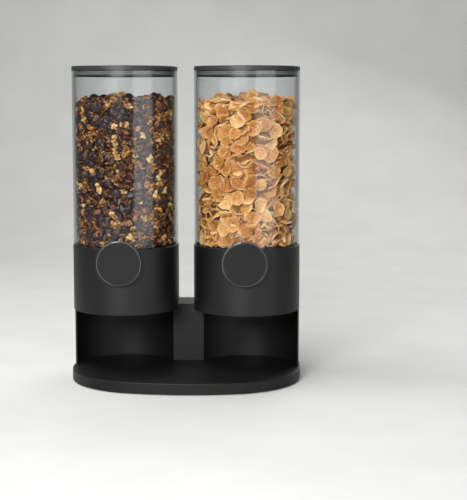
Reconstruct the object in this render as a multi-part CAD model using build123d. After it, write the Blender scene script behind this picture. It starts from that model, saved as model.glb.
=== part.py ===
from build123d import *
from math import cos, radians, sin, sqrt
import os

# A twin cereal dispenser: two clear containers with lids stand in black housings, side by side
# on a stand. A knob on each housing turns a vaned rotor that drops cereal through the outlet
# into a bowl on the base. Millimetres, +Z up, the front faces -Y, and the origin is on the
# surface that the stand rests on, below the middle of the base.

# ---- driving dimensions ----
HALF_SPACING = 75.5      # from the middle of the stand to a container's axis
GAP = 0.3                # between faces of parts that come apart
PRESS = 0.02             # between faces of parts that stay together
RUNNING = 0.05           # radial clearance of the shaft in its bushings

FOOT_HEIGHT = 1.6        # how far the feet stand out of the base
FOOT_R = 8.0
FOOT_RECESS = 0.7

BASE_HALF_WIDTH = 142.5
BASE_THICKNESS = 12.6
BASE_WALL = 2.5
BASE_BOTTOM_THICKNESS = 2.2
FRONT_BOW_R = 300.0      # bowed front edge
FRONT_CORNER_R = 98.0
FRONT_CORNER_Y = -8.0    # corner centres, from the plane of the container axes
REAR_CORNER_R = 67.0
REAR_CORNER_Y = 18.0

COLUMN_INSET = 1.5       # the column's outline stands this far inside the base's
COLUMN_WALL = 2.2
SHIELD_R = 63.6          # half-round hollows round the bowls
WEB_Y = 30.0             # flat wall between the two hollows
LEDGE_INNER_R = 50.0     # shelf that carries a housing
LEDGE_THICKNESS = 3.0
LEDGE_FRONT_Y = 24.0

HOUSING_R = 65.9
HOUSING_BORE_R = 63.4
HOUSING_Z = 87.4
HOUSING_HEIGHT = 81.1
PAD_R = 15.0             # flat pad behind the knob
PAD_Y = -66.9

TUBE_R = 65.0            # clear container
TUBE_WALL = 2.2
TUBE_TOP_Z = 382.6
SPIGOT_R = 63.0
SPIGOT_BORE_R = 61.0
SPIGOT_DEPTH = 8.0

LID_R = 65.2
LID_THICKNESS = 5.4
LID_PLATE = 2.8
PLUG_R = 61.9            # the ring under the lid that goes into the container
PLUG_BORE_R = 58.6
PLUG_DEPTH = 7.6

SHAFT_Z = 152.4
SHAFT_R = 4.0
SHAFT_FLAT = 3.2         # from the shaft's axis to its flat
SHAFT_FRONT_Y = -72.5
SHAFT_REAR_Y = 46.0
HUB_R = 9.0
VANE_COUNT = 8
VANE_R = 29.8
VANE_THICKNESS = 1.8
VANE_ROOT_R = 6.0
ROTOR_HALF_LENGTH = 29.8

TROUGH_R = 30.3          # hopper round the rotor
TROUGH_HALF_LENGTH = 30.4
HOPPER_WALL = 2.2
MOUTH_ANGLE = 20.0       # below the horizontal, where the funnel meets the trough
SLOT_ANGLE = 67.0        # below the horizontal, where the trough opens into the outlet
FUNNEL_TOP_R = 60.6
FUNNEL_WALL = 1.6
COLLAR_DEPTH = 12.5
BOSS_R = 10.0
BOSS_INNER_Y = 33.0
FRONT_BOSS_Y = -60.4
REAR_BOSS_Y = 49.0

BUSHING_R = 6.95
BUSHING_FLANGE_R = 9.8
BUSHING_FLANGE = 1.1

FLOOR_THICKNESS = 2.4
OUTLET_HALF = 23.0       # the square opening at the bottom of the outlet
CHUTE_TOP_Z = 118.0
CHUTE_NECK_Z = 110.0
SCREW_CIRCLE_R = 56.0
LEDGE_SCREW_ANGLES = (40, 90, 140)
FRONT_SCREW_ANGLES = (-50, -130)

KNOB_R = 27.2
KNOB_BACK_Y = -67.7
KNOB_THICKNESS = 10.0
KNOB_CHAMFER = 1.3
KNOB_CAP_R = 24.9
KNOB_CAP_THICKNESS = 1.6
KNOB_HUB_R = 8.0

SCREW_R = 1.6
SCREW_HEAD_R = 3.4
SCREW_HEAD = 2.0
SCREW_BOSS_R = 4.5

# ---- heights and places that follow ----
BASE_TOP_Z = FOOT_HEIGHT + BASE_THICKNESS
HOUSING_TOP_Z = HOUSING_Z + HOUSING_HEIGHT
FRONT_CORNER_X = BASE_HALF_WIDTH - FRONT_CORNER_R
BOW_CENTRE_Y = FRONT_CORNER_Y + sqrt((FRONT_BOW_R - FRONT_CORNER_R) ** 2 - FRONT_CORNER_X**2)
FRONT_Y = BOW_CENTRE_Y - FRONT_BOW_R
REAR_Y = REAR_CORNER_Y + REAR_CORNER_R
AXES_Y = -(FRONT_Y + REAR_Y) / 2     # puts the origin under the middle of the base
MOUTH_X = TROUGH_R * cos(radians(MOUTH_ANGLE))
MOUTH_Z = SHAFT_Z - TROUGH_R * sin(radians(MOUTH_ANGLE))
SLOT_X = TROUGH_R * cos(radians(SLOT_ANGLE))
SLOT_Z = SHAFT_Z - TROUGH_R * sin(radians(SLOT_ANGLE))
FUNNEL_TOP_Z = HOUSING_TOP_Z - GAP
SPIGOT_Z = HOUSING_TOP_Z - SPIGOT_DEPTH
COLLAR_BOTTOM_Z = SLOT_Z - COLLAR_DEPTH
KNOB_FRONT_Y = KNOB_BACK_Y - KNOB_THICKNESS
RING_SPAN = (-BOSS_INNER_Y + 0.8, -BOSS_INNER_Y + 1.8)


def polar(radius, degrees, x=0.0, y=0.0):
    return x + radius * cos(radians(degrees)), y + radius * sin(radians(degrees))


def upright(radius, low, high, x=0.0, y=0.0):
    """A round bar along Z from low to high."""
    return Pos(x, y, low) * Cylinder(radius, high - low, align=(Align.CENTER, Align.CENTER, Align.MIN))


def level(radius, front, back, z=SHAFT_Z):
    """A round bar along Y from front to back."""
    return Pos(0, (front + back) / 2, z) * Rot(90, 0, 0) * Cylinder(radius, back - front)


def block(half_x, half_y, low, high, x=0.0, y=0.0):
    """A box about (x, y) that stands from low to high."""
    return Pos(x, y, (low + high) / 2) * Box(2 * half_x, 2 * half_y, high - low)


def turned(points):
    """A solid of revolution about Z from its (radius, height) corners."""
    return revolve(Plane.XZ * make_face(Polyline(*points, close=True)), Axis.Z)


def prism(face, low, high):
    return extrude(Pos(0, 0, low) * face, high - low)


def taper(low_face, low, high_face, high):
    return loft([Pos(0, 0, low) * low_face, Pos(0, 0, high) * high_face])


def rounded_rim(part, height, size):
    """Rounds the edges of a part that lie at one height."""
    edges = part.edges().filter_by(lambda e: abs(e.bounding_box().min.Z - height) < 0.01
                                   and abs(e.bounding_box().max.Z - height) < 0.01)
    return fillet(edges, size)


def pan_screw(length):
    """A screw that points up, with its head's bearing face at the origin."""
    head = upright(SCREW_HEAD_R, -SCREW_HEAD, 0)
    screw = rounded_rim(head, -SCREW_HEAD, 0.6) + upright(SCREW_R - PRESS, -0.5, length)
    return screw - upright(1.1, -SCREW_HEAD, -SCREW_HEAD + 1.2)


def flush_screw(length, allowance=0.0):
    """A countersunk screw with the flat of its head at the origin, pointing up."""
    head_r = SCREW_HEAD_R + allowance
    shank_r = SCREW_R + allowance - PRESS
    cone = turned([(0, 0), (head_r, 0), (shank_r, head_r - shank_r), (shank_r, length), (0, length)])
    return cone if allowance else cone - upright(1.0, -0.1, 0.9)


# ---- plan of the stand, about the plane of the container axes ----
def stand_outline(inset=0.0):
    """Bowed front, wide front corners, straight sides, round rear corners and a straight back."""
    half_width = BASE_HALF_WIDTH - inset
    corner_r = FRONT_CORNER_R - inset
    rear_r = REAR_CORNER_R - inset
    rear_x = BASE_HALF_WIDTH - REAR_CORNER_R
    reach = FRONT_BOW_R - FRONT_CORNER_R
    join_x = FRONT_CORNER_X + corner_r * FRONT_CORNER_X / reach
    join_y = FRONT_CORNER_Y - corner_r * (BOW_CENTRE_Y - FRONT_CORNER_Y) / reach
    join = (join_x, join_y)
    join_left = (-join_x, join_y)
    front_mid = polar(corner_r, -40, FRONT_CORNER_X, FRONT_CORNER_Y)
    rear_mid = polar(rear_r, 45, rear_x, REAR_CORNER_Y)
    edges = [
        ThreePointArc(join_left, (0, FRONT_Y + inset), join),
        ThreePointArc(join, front_mid, (half_width, FRONT_CORNER_Y)),
        Line((half_width, FRONT_CORNER_Y), (half_width, REAR_CORNER_Y)),
        ThreePointArc((half_width, REAR_CORNER_Y), rear_mid, (rear_x, REAR_CORNER_Y + rear_r)),
        Line((rear_x, REAR_CORNER_Y + rear_r), (-rear_x, REAR_CORNER_Y + rear_r)),
        ThreePointArc((-rear_x, REAR_CORNER_Y + rear_r), (-rear_mid[0], rear_mid[1]),
                      (-half_width, REAR_CORNER_Y)),
        Line((-half_width, REAR_CORNER_Y), (-half_width, FRONT_CORNER_Y)),
        ThreePointArc((-half_width, FRONT_CORNER_Y), (-front_mid[0], front_mid[1]), join_left),
    ]
    return make_face(edges)


def crescent(inset, hollow_r, web_y):
    """Plan of the column: the rear of the outline, less the round hollows and the web's front."""
    plan = stand_outline(inset)
    front_y = 0 if hollow_r == SHIELD_R else COLUMN_WALL
    plan -= Pos(0, front_y - 200) * Rectangle(800, 400)
    plan -= Pos(0, web_y - 200) * Rectangle(2 * HALF_SPACING, 400)
    for x in (-HALF_SPACING, HALF_SPACING):
        plan -= Pos(x, 0) * Circle(hollow_r)
    return plan


BASE_SCREW_PLACES = [(x, y) for x in (-98, -34, 34, 98) for y in (-66, 44)]
COLUMN_SCREW_PLACES = [(s * x, y) for s in (-1, 1) for x, y in ((20, 60), (75.5, 74), (112, 62))]
FOOT_PLACES = [(s * x, y) for s in (-1, 1) for x, y in ((58, -88), (116, -20), (84, 66))]


def base_top():
    shell = prism(stand_outline(), FOOT_HEIGHT, BASE_TOP_Z)
    shell = rounded_rim(shell, BASE_TOP_Z, 0.9)
    ceiling = BASE_TOP_Z - BASE_WALL
    shell -= prism(stand_outline(BASE_WALL), FOOT_HEIGHT, ceiling)
    for x, y in BASE_SCREW_PLACES:
        shell += upright(SCREW_BOSS_R, FOOT_HEIGHT + BASE_BOTTOM_THICKNESS, ceiling + 0.5, x, y)
        shell -= upright(SCREW_R, 0, ceiling - 0.5, x, y)
    for x, y in COLUMN_SCREW_PLACES:
        shell -= upright(SCREW_R + 0.2, ceiling - 1, BASE_TOP_Z + 1, x, y)
    return shell


def base_bottom():
    plate = prism(stand_outline(BASE_WALL + GAP), FOOT_HEIGHT, FOOT_HEIGHT + BASE_BOTTOM_THICKNESS)
    for x, y in FOOT_PLACES:
        plate -= upright(FOOT_R + 0.1, 0, FOOT_HEIGHT + FOOT_RECESS, x, y)
    for x, y in BASE_SCREW_PLACES:
        plate -= Pos(x, y, FOOT_HEIGHT) * flush_screw(5, allowance=0.15)
    return plate


def rubber_feet():
    foot = rounded_rim(upright(FOOT_R, 0, FOOT_HEIGHT + FOOT_RECESS), 0, 0.5)
    return [Pos(x, y, 0) * foot for x, y in FOOT_PLACES]


def base_screws():
    return [Pos(x, y, FOOT_HEIGHT) * flush_screw(8) for x, y in BASE_SCREW_PLACES]


def column():
    shell = prism(crescent(COLUMN_INSET, SHIELD_R, WEB_Y), BASE_TOP_Z, HOUSING_Z)
    hollow = crescent(COLUMN_INSET + COLUMN_WALL, SHIELD_R + COLUMN_WALL, WEB_Y + COLUMN_WALL)
    shell -= prism(hollow, BASE_TOP_Z, HOUSING_Z - COLUMN_WALL)
    for x, y in COLUMN_SCREW_PLACES:
        shell += upright(SCREW_BOSS_R, BASE_TOP_Z, HOUSING_Z - 1, x, y)
        shell -= upright(SCREW_R, BASE_TOP_Z - 1, BASE_TOP_Z + 15, x, y)
    for x in (-HALF_SPACING, HALF_SPACING):
        shell += Pos(x, 0, 0) * ledge()
    return shell


def ledge():
    """The half-round shelf at the top of a hollow, with holes for the housing's screws."""
    low = HOUSING_Z - LEDGE_THICKNESS
    shelf = upright(SHIELD_R + 0.5, low, HOUSING_Z) - upright(LEDGE_INNER_R, low - 1, HOUSING_Z + 1)
    shelf -= block(100, 100, low - 1, HOUSING_Z + 1, y=LEDGE_FRONT_Y - 100)
    for angle in LEDGE_SCREW_ANGLES:
        shelf -= upright(SCREW_R + 0.2, low - 1, HOUSING_Z + 1, *polar(SCREW_CIRCLE_R, angle))
    return shelf


def column_screws():
    under = BASE_TOP_Z - BASE_WALL
    return [Pos(x, y, under) * pan_screw(13) for x, y in COLUMN_SCREW_PLACES]


# ---- one canister, about its own axis ----
def housing():
    shell = upright(HOUSING_R, HOUSING_Z, HOUSING_TOP_Z)
    shell = rounded_rim(rounded_rim(shell, HOUSING_TOP_Z, 0.5), HOUSING_Z, 0.5)
    shell += level(PAD_R, PAD_Y, -HOUSING_BORE_R) - upright(HOUSING_BORE_R, 0, 200)
    shell -= upright(HOUSING_BORE_R, HOUSING_Z - 1, HOUSING_TOP_Z + 1)
    shelf_top = SPIGOT_Z - GAP - HOPPER_WALL
    shell += upright(HOUSING_BORE_R + 0.5, shelf_top - 3, shelf_top) - upright(61.6, 0, 200)
    for angle in LEDGE_SCREW_ANGLES + FRONT_SCREW_ANGLES:
        shell += housing_boss(angle)
    shell -= level(BUSHING_R + 0.2, PAD_Y - 1, -50)
    shell -= level(BUSHING_FLANGE_R + 0.2, PAD_Y - 1, PAD_Y + BUSHING_FLANGE + 0.1)
    return shell


def housing_boss(angle):
    """A screw boss with the rib that joins it to the housing's wall."""
    low = HOUSING_Z + FLOOR_THICKNESS
    x, y = polar(SCREW_CIRCLE_R, angle)
    rib_length = HOUSING_BORE_R + 0.5 - SCREW_CIRCLE_R
    rib = Pos(SCREW_CIRCLE_R + rib_length / 2, 0, low + 7) * Box(rib_length, 2.4, 14)
    boss = upright(SCREW_BOSS_R, low, low + 14, x, y) + Rot(0, 0, angle) * rib
    return boss - upright(SCREW_R, low - 1, low + 12, x, y)


def hopper():
    mouth = Rectangle(2 * MOUTH_X, 2 * TROUGH_HALF_LENGTH)
    mouth_outer = Rectangle(2 * (MOUTH_X + HOPPER_WALL), 2 * (TROUGH_HALF_LENGTH + HOPPER_WALL))
    funnel = taper(mouth_outer, MOUTH_Z, Circle(FUNNEL_TOP_R), FUNNEL_TOP_Z)
    inside = taper(mouth, MOUTH_Z, Circle(FUNNEL_TOP_R - FUNNEL_WALL), FUNNEL_TOP_Z)
    flange_top = SPIGOT_Z - GAP
    funnel += upright(SPIGOT_R, flange_top - HOPPER_WALL, flange_top)
    half_length = TROUGH_HALF_LENGTH + HOPPER_WALL
    trough = level(TROUGH_R + HOPPER_WALL, -half_length, half_length)
    trough -= block(100, 100, MOUTH_Z, MOUTH_Z + 100)
    collar = block(SLOT_X + HOPPER_WALL, half_length, COLLAR_BOTTOM_Z, SLOT_Z + 2)
    body = funnel - inside + trough + collar
    body += level(BOSS_R, FRONT_BOSS_Y, -BOSS_INNER_Y) + level(BOSS_R, BOSS_INNER_Y, REAR_BOSS_Y)
    body -= level(TROUGH_R, -TROUGH_HALF_LENGTH, TROUGH_HALF_LENGTH)
    body -= block(SLOT_X, TROUGH_HALF_LENGTH, COLLAR_BOTTOM_Z - 1, SLOT_Z + 3)
    body -= level(BUSHING_R + PRESS, -SPIGOT_R - 1, -BOSS_INNER_Y + 1)
    body -= level(BUSHING_R + PRESS, BOSS_INNER_Y - 1, REAR_BOSS_Y - HOPPER_WALL)
    return body


def outlet():
    """The housing's floor with the square chute that drops cereal into the bowl."""
    neck_x = SLOT_X + HOPPER_WALL + GAP
    neck_y = TROUGH_HALF_LENGTH + HOPPER_WALL + GAP
    wall = 2.0
    neck = Rectangle(2 * neck_x, 2 * neck_y)
    neck_outer = Rectangle(2 * (neck_x + wall), 2 * (neck_y + wall))
    mouth = Rectangle(2 * OUTLET_HALF, 2 * OUTLET_HALF)
    mouth_outer = Rectangle(2 * (OUTLET_HALF + wall), 2 * (OUTLET_HALF + wall))
    part = upright(HOUSING_BORE_R - GAP, HOUSING_Z, HOUSING_Z + FLOOR_THICKNESS)
    part += taper(mouth_outer, HOUSING_Z, neck_outer, CHUTE_NECK_Z)
    part += prism(neck_outer, CHUTE_NECK_Z, CHUTE_TOP_Z)
    part -= taper(mouth, HOUSING_Z, neck, CHUTE_NECK_Z)
    part -= prism(neck, CHUTE_NECK_Z, CHUTE_TOP_Z)
    for angle in LEDGE_SCREW_ANGLES:
        x, y = polar(SCREW_CIRCLE_R, angle)
        part -= upright(SCREW_R + 0.2, HOUSING_Z - 1, HOUSING_Z + FLOOR_THICKNESS + 1, x, y)
    for angle in FRONT_SCREW_ANGLES:
        part -= Pos(*polar(SCREW_CIRCLE_R, angle), HOUSING_Z) * flush_screw(5, allowance=0.15)
    return part


def ledge_screws():
    under = HOUSING_Z - LEDGE_THICKNESS
    return [Pos(*polar(SCREW_CIRCLE_R, a), under) * pan_screw(14) for a in LEDGE_SCREW_ANGLES]


def outlet_screws():
    return [Pos(*polar(SCREW_CIRCLE_R, a), HOUSING_Z) * flush_screw(11) for a in FRONT_SCREW_ANGLES]


def front_bushing():
    barrel = level(BUSHING_R, PAD_Y + BUSHING_FLANGE, -BOSS_INNER_Y)
    flange = level(BUSHING_FLANGE_R, PAD_Y, PAD_Y + BUSHING_FLANGE)
    return barrel + flange - level(SHAFT_R + RUNNING, PAD_Y - 1, -BOSS_INNER_Y + 1)


def rear_bushing():
    end = REAR_BOSS_Y - HOPPER_WALL - GAP
    return level(BUSHING_R, BOSS_INNER_Y, end) - level(SHAFT_R + RUNNING, BOSS_INNER_Y - 1, end + 1)


def container():
    bore = TUBE_R - TUBE_WALL
    tube = turned([
        (SPIGOT_BORE_R, SPIGOT_Z), (SPIGOT_R, SPIGOT_Z), (SPIGOT_R, HOUSING_TOP_Z),
        (TUBE_R, HOUSING_TOP_Z), (TUBE_R, TUBE_TOP_Z), (bore, TUBE_TOP_Z),
        (bore, HOUSING_TOP_Z + 3), (SPIGOT_BORE_R, HOUSING_TOP_Z + 1),
    ])
    return rounded_rim(tube, TUBE_TOP_Z, 0.6)


def lid():
    plug_z = TUBE_TOP_Z - PLUG_DEPTH
    top_z = TUBE_TOP_Z + LID_THICKNESS
    body = upright(LID_R, TUBE_TOP_Z, top_z) - upright(PLUG_BORE_R, TUBE_TOP_Z - 1, top_z - LID_PLATE)
    body = rounded_rim(body, top_z, 1.0)
    plug = turned([
        (PLUG_BORE_R, plug_z), (PLUG_R, plug_z), (PLUG_R, plug_z + 2.4), (PLUG_R - 1.6, plug_z + 2.4),
        (PLUG_R - 1.6, plug_z + 6.4), (PLUG_R, plug_z + 6.4), (PLUG_R, TUBE_TOP_Z + 0.1),
        (PLUG_BORE_R, TUBE_TOP_Z + 0.1),
    ])
    return body + plug


def lid_gasket():
    """A silicone ring with two lips, in the groove of the lid's plug."""
    low = TUBE_TOP_Z - PLUG_DEPTH + 2.4 + PRESS
    high = low + 4.0 - 2 * PRESS
    root = PLUG_R - 1.6 + PRESS
    lip = TUBE_R - TUBE_WALL - GAP
    middle = (low + high) / 2
    return turned([
        (root, low), (lip - 0.3, low), (lip, low + 0.5), (lip, low + 1.1), (lip - 0.8, middle),
        (lip, high - 1.1), (lip, high - 0.5), (lip - 0.3, high), (root, high),
    ])


# ---- the rotor and its knob ----
def flat_shaft(radius, flat, front, back):
    """A round bar along Y with one flat along its top."""
    bar = level(radius, front, back)
    return bar - block(10, 200, SHAFT_Z + flat, SHAFT_Z + flat + 10)


def shaft():
    bar = level(SHAFT_R, SHAFT_FRONT_Y, SHAFT_REAR_Y)
    for front, back in ((SHAFT_FRONT_Y - 1, KNOB_BACK_Y), (-ROTOR_HALF_LENGTH, ROTOR_HALF_LENGTH)):
        flat = block(10, (back - front) / 2, SHAFT_Z + SHAFT_FLAT, SHAFT_Z + 10, y=(front + back) / 2)
        bar -= flat
    bar -= level(SHAFT_R + 1, *RING_SPAN) - level(SHAFT_R - 0.6, *RING_SPAN)
    bar -= level(1.5, SHAFT_FRONT_Y - 1, SHAFT_FRONT_Y + 11)
    return bar


def shaft_ring():
    """An E-shaped retaining ring in the shaft's groove, behind the front bushing."""
    front, back = RING_SPAN[0] + PRESS, RING_SPAN[1] - PRESS
    ring = level(6.6, front, back) - level(SHAFT_R - 0.6 + PRESS, front - 1, back + 1)
    mouth = block(2.6, 3, SHAFT_Z - 8, SHAFT_Z, y=front)
    return ring - mouth


def rotor_hub():
    hub = level(HUB_R, -ROTOR_HALF_LENGTH, ROTOR_HALF_LENGTH)
    reach = ROTOR_HALF_LENGTH + 1
    hub -= flat_shaft(SHAFT_R + PRESS, SHAFT_FLAT + PRESS, -reach, reach)
    for turn in range(VANE_COUNT):
        hub -= vane(turn, VANE_ROOT_R - PRESS, VANE_THICKNESS / 2 + PRESS, reach)
    return hub


def vane(turn, root_r, half_thickness, half_length):
    """One flexible blade, from its root in the hub to its thinner tip."""
    profile = make_face(Polyline(
        (-half_thickness, root_r), (half_thickness, root_r), (half_thickness, HUB_R),
        (0.55 * half_thickness, VANE_R), (-0.55 * half_thickness, VANE_R), (-half_thickness, HUB_R),
        close=True))
    blade = extrude(Plane.XZ * profile, half_length, both=True)
    return Pos(0, 0, SHAFT_Z) * Rot(0, turn * 360 / VANE_COUNT, 0) * blade


def rotor_vanes():
    return [vane(turn, VANE_ROOT_R, VANE_THICKNESS / 2, ROTOR_HALF_LENGTH) for turn in range(VANE_COUNT)]


def knob():
    face_y = KNOB_FRONT_Y + KNOB_CAP_THICKNESS
    web_back_y = face_y + 2.0
    disc = level(KNOB_R, KNOB_FRONT_Y, KNOB_BACK_Y)
    rims = disc.edges().filter_by(GeomType.CIRCLE).sort_by(Axis.Y)
    disc = chamfer(rims[0], KNOB_CHAMFER)
    disc = fillet(disc.edges().filter_by(GeomType.CIRCLE).sort_by(Axis.Y)[-1], 0.6)
    disc -= level(KNOB_CAP_R + 0.05, KNOB_FRONT_Y - 1, face_y)
    disc -= level(KNOB_R - 2.4, web_back_y, KNOB_BACK_Y + 1) - level(KNOB_HUB_R, web_back_y, KNOB_BACK_Y + 1)
    for turn in range(6):
        rib = Pos((KNOB_HUB_R + KNOB_R) / 2 - 1, (web_back_y + KNOB_BACK_Y) / 2, 0) * Box(
            KNOB_R - KNOB_HUB_R, KNOB_BACK_Y - web_back_y - 1, 1.6)
        disc += Pos(0, 0, SHAFT_Z) * Rot(0, 60 * turn, 0) * rib
    disc -= flat_shaft(SHAFT_R + PRESS, SHAFT_FLAT + PRESS, SHAFT_FRONT_Y - PRESS, KNOB_BACK_Y + 1)
    disc -= level(1.7, KNOB_FRONT_Y, KNOB_BACK_Y)
    disc -= level(SCREW_HEAD_R + 0.2, KNOB_FRONT_Y, face_y + SCREW_HEAD + 0.2)
    return disc


def knob_cap():
    cap = level(KNOB_CAP_R, KNOB_FRONT_Y, KNOB_FRONT_Y + KNOB_CAP_THICKNESS - PRESS)
    return fillet(cap.edges().filter_by(GeomType.CIRCLE).sort_by(Axis.Y)[0], 0.3)


def knob_screw():
    seat_y = KNOB_FRONT_Y + KNOB_CAP_THICKNESS + SCREW_HEAD + 0.2
    head = level(SCREW_HEAD_R, seat_y - SCREW_HEAD, seat_y)
    shank = level(1.5 - PRESS, seat_y, SHAFT_FRONT_Y + 9)
    return head + shank - level(1.1, seat_y - SCREW_HEAD, seat_y - SCREW_HEAD + 1.2)


STAND_PARTS = (base_top, base_bottom, rubber_feet, base_screws, column, column_screws)
CANISTER_PARTS = (
    housing, hopper, outlet, ledge_screws, outlet_screws, front_bushing, rear_bushing, container,
    lid, lid_gasket, shaft, shaft_ring, rotor_hub, rotor_vanes, knob, knob_cap, knob_screw,
)


def write(name, pieces, x=0.0):
    """Writes one node, as one solid or as a group of separate ones, in the frame of the stand."""
    solids = pieces if isinstance(pieces, list) else [pieces]
    placed = [Pos(x, AXES_Y, 0) * solid for each in solids for solid in each.solids()]
    export_step(placed[0] if len(placed) == 1 else Compound(children=placed), f"parts/{name}.step")


os.makedirs("parts", exist_ok=True)
for make in STAND_PARTS:
    write(make.__name__, make())
for make in CANISTER_PARTS:
    piece = make()
    write("left_" + make.__name__, piece, -HALF_SPACING)
    write("right_" + make.__name__, piece, HALF_SPACING)
print("axes plane at y", round(AXES_Y, 3), "depth", round(REAR_Y - FRONT_Y, 2))
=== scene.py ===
# %% [markdown]
# # A twin cereal dispenser
# The frame holds every moulded, turned and pressed part at its real size, so this notebook adds
# only what a drawing can't hold: the finish of each material, the cereal inside the clear
# containers, and a small studio. Lengths are metres, +Z is up and the front faces -Y.

# %% Load the frame
import math

import bpy
import bmesh
import numpy as np
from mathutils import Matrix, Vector, noise


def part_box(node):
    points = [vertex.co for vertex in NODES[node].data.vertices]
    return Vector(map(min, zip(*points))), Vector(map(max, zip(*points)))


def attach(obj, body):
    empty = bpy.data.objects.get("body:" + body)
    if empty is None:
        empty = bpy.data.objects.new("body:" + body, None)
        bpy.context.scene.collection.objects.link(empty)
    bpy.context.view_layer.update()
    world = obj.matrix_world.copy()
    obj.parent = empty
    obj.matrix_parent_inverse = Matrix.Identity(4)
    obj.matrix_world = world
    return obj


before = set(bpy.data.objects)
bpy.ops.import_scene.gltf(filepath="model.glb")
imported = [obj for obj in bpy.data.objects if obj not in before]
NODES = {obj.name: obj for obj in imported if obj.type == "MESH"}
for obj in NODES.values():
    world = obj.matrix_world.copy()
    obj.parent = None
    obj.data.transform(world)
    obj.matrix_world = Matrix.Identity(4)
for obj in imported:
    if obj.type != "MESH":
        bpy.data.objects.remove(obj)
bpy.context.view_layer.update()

# %% [markdown]
# ## Places taken from the frame
# Everything that is added later stands in or near a container, so its axis, bore and floor are
# measured once from the frame's own nodes. If the frame changes size, the cereal follows it.

# %% Measure the containers
MM = 0.001
SIDES = ("left", "right")
CONTAINER_WALL = 2.2 * MM


def measure(side):
    """The axis, bore radius, floor and ceiling of one container's visible space."""
    low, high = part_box(side + "_container")
    lid_low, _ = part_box(side + "_lid")
    _, housing_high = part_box(side + "_housing")
    radius = (high.x - low.x) / 2
    return {
        "x": (low.x + high.x) / 2, "y": (low.y + high.y) / 2, "bore": radius - CONTAINER_WALL,
        "floor": housing_high.z, "ceiling": lid_low.z,
    }


ROOM = {side: measure(side) for side in SIDES}
print("left container:", {k: round(v, 4) for k, v in ROOM["left"].items()})

# %% [markdown]
# ## Two helpers for finishes
# Colours are written as the hex values that a paint chart uses. Those are sRGB, and a shader
# works with linear light, so one function converts them, with the numbers of the sRGB standard.
# Another adds a shader node, sets its values and joins its inputs, so that each finish below
# reads as a short list of what it does.

# %% Helper: colours
def linear(code):
    """An sRGB hex colour as linear red, green, blue and alpha."""
    parts = [int(code[i:i + 2], 16) / 255 for i in (1, 3, 5)]
    return [c / 12.92 if c <= 0.04045 else ((c + 0.055) / 1.055) ** 2.4 for c in parts] + [1.0]


print("a middle grey in linear light:", round(linear("#808080")[0], 3))


# %% Helper: nodes
def add_node(tree, kind, values=None, joins=None, stops=(), **settings):
    """Adds one node. values sets its inputs, joins feeds them from (node, output) pairs, and
    stops are the (place, hex colour) pairs of a colour ramp."""
    made = tree.nodes.new(kind)
    for name, value in settings.items():
        setattr(made, name, value)
    for key, value in (values or {}).items():
        made.inputs[key].default_value = value
    for key, (source, output) in (joins or {}).items():
        tree.links.new(source.outputs[output], made.inputs[key])
    if stops:
        points = made.color_ramp.elements
        while len(points) < len(stops):
            points.new(0.5)
        for point, (place, code) in zip(points, stops):
            point.position = place
            point.color = linear(code)
    return made


def start_material(name):
    """An empty material with its output, ready for a shader."""
    made = bpy.data.materials.new(name)
    made.use_nodes = True
    made.node_tree.nodes.clear()
    out = add_node(made.node_tree, "ShaderNodeOutputMaterial")
    return made, made.node_tree, out


print("helpers:", add_node.__name__, "and", start_material.__name__)

# %% [markdown]
# ## Moulded plastic
# The housings, the column and the base are ABS, moulded in a spark-eroded tool. The tool leaves
# fine pits about 0.1 mm apart, so the plastic looks soft and dark, with a broad highlight and no
# mirror image. Real grain of that size is far too fine to show, so it is drawn at 0.7 mm, and a
# much larger and fainter mottle stands for the way such mouldings vary in gloss.
# The alternative is a flat colour with one roughness, which looks like painted cardboard.
#
# ABS has an IOR of about 1.53. On black plastic the pits swallow part of what the surface would
# mirror, and a shader without real pits doesn't know that, so the three ABS finishes are matched
# to the object with a lower IOR. The hidden parts keep the typical values of polypropylene,
# acetal, silicone and rubber, and differ only in colour, roughness and grain.

# %% Material: moulded plastic
MOTTLE_MM = 35                      # the slow change of gloss over a large moulding
GLOSS_DROP, GLOSS_RISE = 0.04, 0.06


def moulded_plastic(name, colour, light_colour, roughness, grain_mm, grain_depth_mm, ior):
    made, tree, out = start_material(name)
    place = add_node(tree, "ShaderNodeTexCoord")
    mottle = add_node(tree, "ShaderNodeTexNoise", {"Scale": 1 / (MOTTLE_MM * MM), "Detail": 3.0},
                      {"Vector": (place, "Object")})
    grain = add_node(tree, "ShaderNodeTexNoise", {"Scale": 1 / (grain_mm * MM), "Detail": 2.0},
                     {"Vector": (place, "Object")})
    tint = add_node(tree, "ShaderNodeValToRGB", joins={"Fac": (mottle, "Fac")},
                    stops=[(0.3, colour), (0.75, light_colour)])
    gloss = add_node(tree, "ShaderNodeMapRange",
                     {"To Min": roughness - GLOSS_DROP, "To Max": roughness + GLOSS_RISE},
                     {"Value": (mottle, "Fac")})
    pits = add_node(tree, "ShaderNodeBump", {"Strength": 0.35, "Distance": grain_depth_mm * MM},
                    {"Height": (grain, "Fac")})
    shader = add_node(tree, "ShaderNodeBsdfPrincipled", {"IOR": ior},
                      {"Base Color": (tint, "Color"), "Roughness": (gloss, "Result"),
                       "Normal": (pits, "Normal")})
    tree.links.new(shader.outputs[0], out.inputs["Surface"])
    return made


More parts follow.
